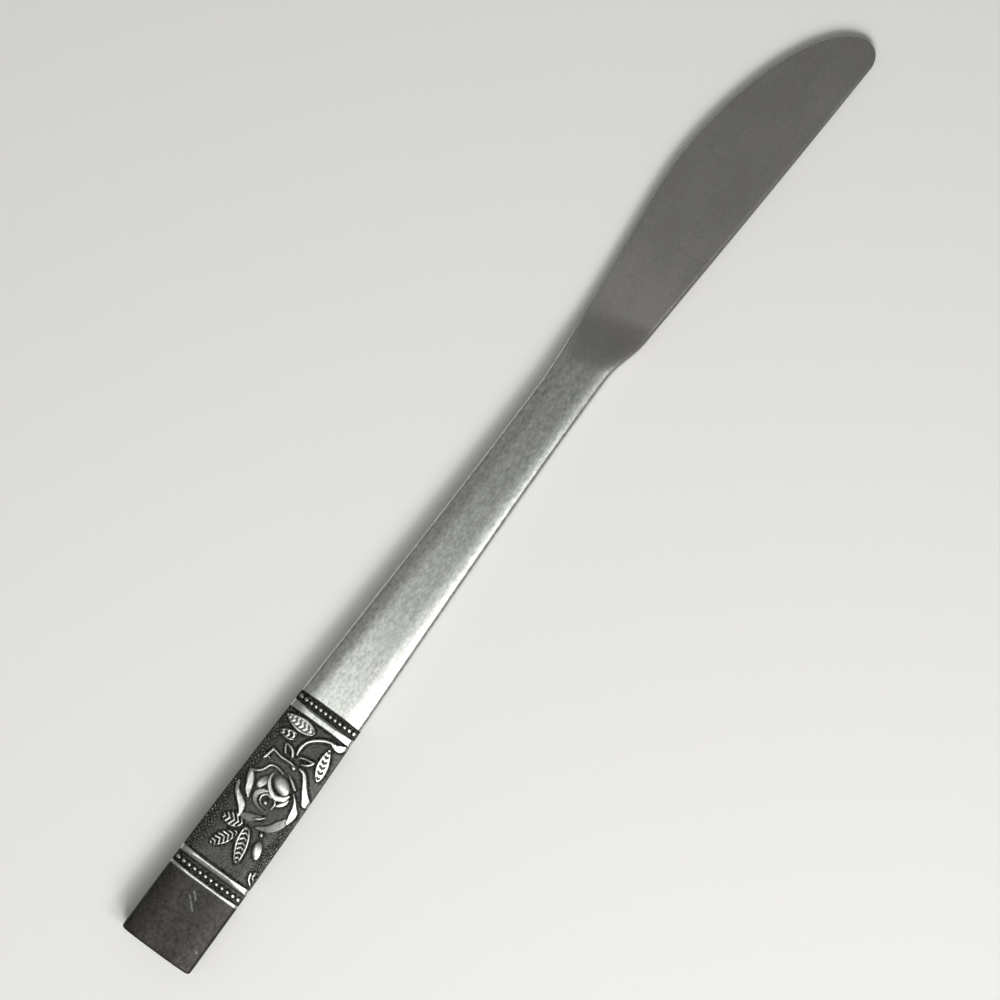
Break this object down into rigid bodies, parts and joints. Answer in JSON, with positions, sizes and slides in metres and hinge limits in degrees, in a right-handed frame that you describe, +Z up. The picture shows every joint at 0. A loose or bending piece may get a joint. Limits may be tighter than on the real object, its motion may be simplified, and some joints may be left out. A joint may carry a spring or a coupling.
{
  "type": "table knife",
  "caption": "Stainless table knife with a round-tipped blade and a flared hollow handle struck with a sunk rose panel between bead rows, for cutting and spreading at the table.",
  "frame": {"origin": "middle of the bounding box at table level, under the knife lying on its rear face", "axes": "+X from the butt to the tip, +Y from the cutting edge to the spine, +Z up out of the front face"},
  "size_m": [0.216, 0.0192, 0.0074],
  "materials": {
    "blade_steel": "fine satin polish",
    "handle_steel": "brushed along the handle, with blackened ground in the struck panel",
    "brazing_alloy": "filed flush",
    "cement": "rough cast"
  },
  "bodies": {
    "root": {"blade": "blade_steel", "front_handle_shell": "handle_steel", "rear_handle_shell": "handle_steel", "seam_braze": "brazing_alloy", "handle_cement": "cement"}
  },
  "joints": []
}
